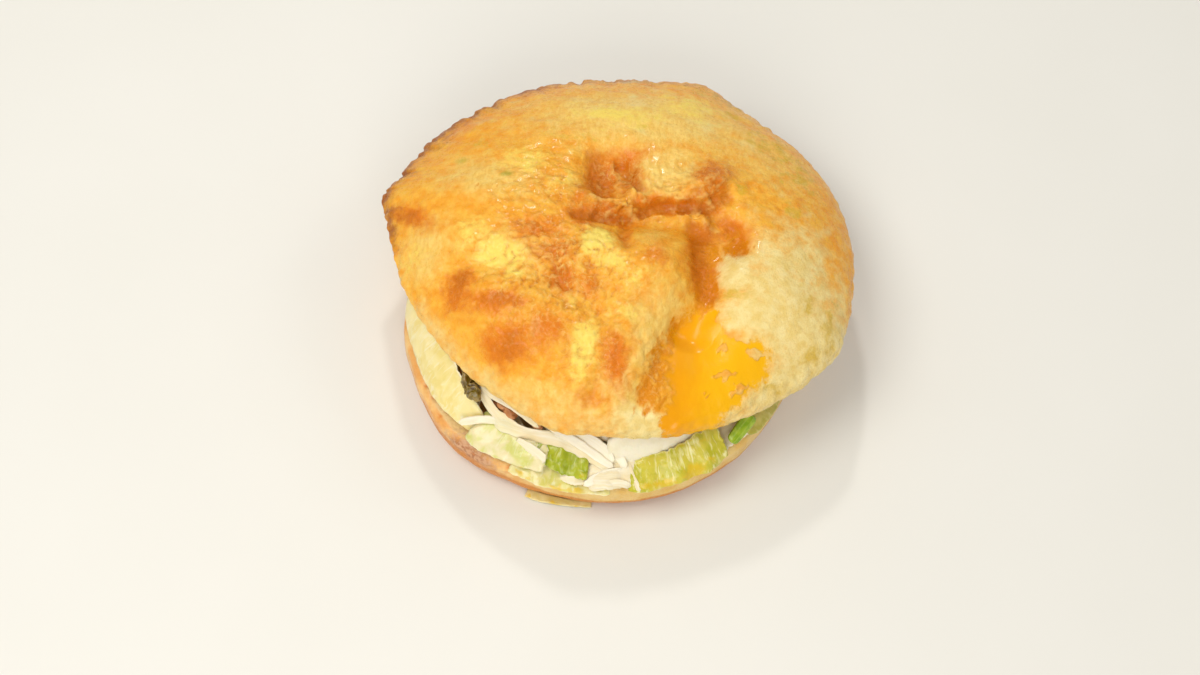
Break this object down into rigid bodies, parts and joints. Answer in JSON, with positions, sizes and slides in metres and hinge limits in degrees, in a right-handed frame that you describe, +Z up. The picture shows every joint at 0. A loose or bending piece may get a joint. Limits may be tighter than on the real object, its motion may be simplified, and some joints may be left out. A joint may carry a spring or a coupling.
{
  "type": "fried egg burger",
  "caption": "Pan-fried dough burger with a fried egg over the top bun, and meat, shredded cabbage, pickled greens and leaves showing at its open front.",
  "frame": {"origin": "middle of the bottom bun's flat base", "axes": "+Z up out of the base, -Y towards the open front where the filling shows"},
  "size_m": [0.1353, 0.1316, 0.052],
  "materials": {
    "bottom_bun": "matte",
    "top_bun": "matte",
    "fried_egg": "satin",
    "meat_patty": "satin",
    "pickled_greens": "satin",
    "green_onion": "satin",
    "shredded_cabbage": "satin",
    "cabbage_rib": "satin",
    "leaf_left": "satin",
    "leaf_pale_front": "satin",
    "leaf_green_front": "satin",
    "leaf_low_front": "satin",
    "leaf_right": "satin",
    "leaf_olive_right": "satin",
    "leaf_right_side": "satin",
    "leaf_back_right": "satin",
    "leaf_back": "satin",
    "leaf_back_left": "satin",
    "leaf_scrap": "satin"
  },
  "bodies": {
    "root": {"bottom_bun": "bottom_bun", "top_bun": "top_bun", "fried_egg": "fried_egg", "meat_patty": "meat_patty", "pickled_greens": "pickled_greens", "green_onion": "green_onion", "shredded_cabbage": "shredded_cabbage", "cabbage_rib": "cabbage_rib", "leaf_left": "leaf_left", "leaf_pale_front": "leaf_pale_front", "leaf_green_front": "leaf_green_front", "leaf_low_front": "leaf_low_front", "leaf_right": "leaf_right", "leaf_olive_right": "leaf_olive_right", "leaf_right_side": "leaf_right_side", "leaf_back_right": "leaf_back_right", "leaf_back": "leaf_back", "leaf_back_left": "leaf_back_left", "leaf_scrap": "leaf_scrap"}
  },
  "joints": []
}
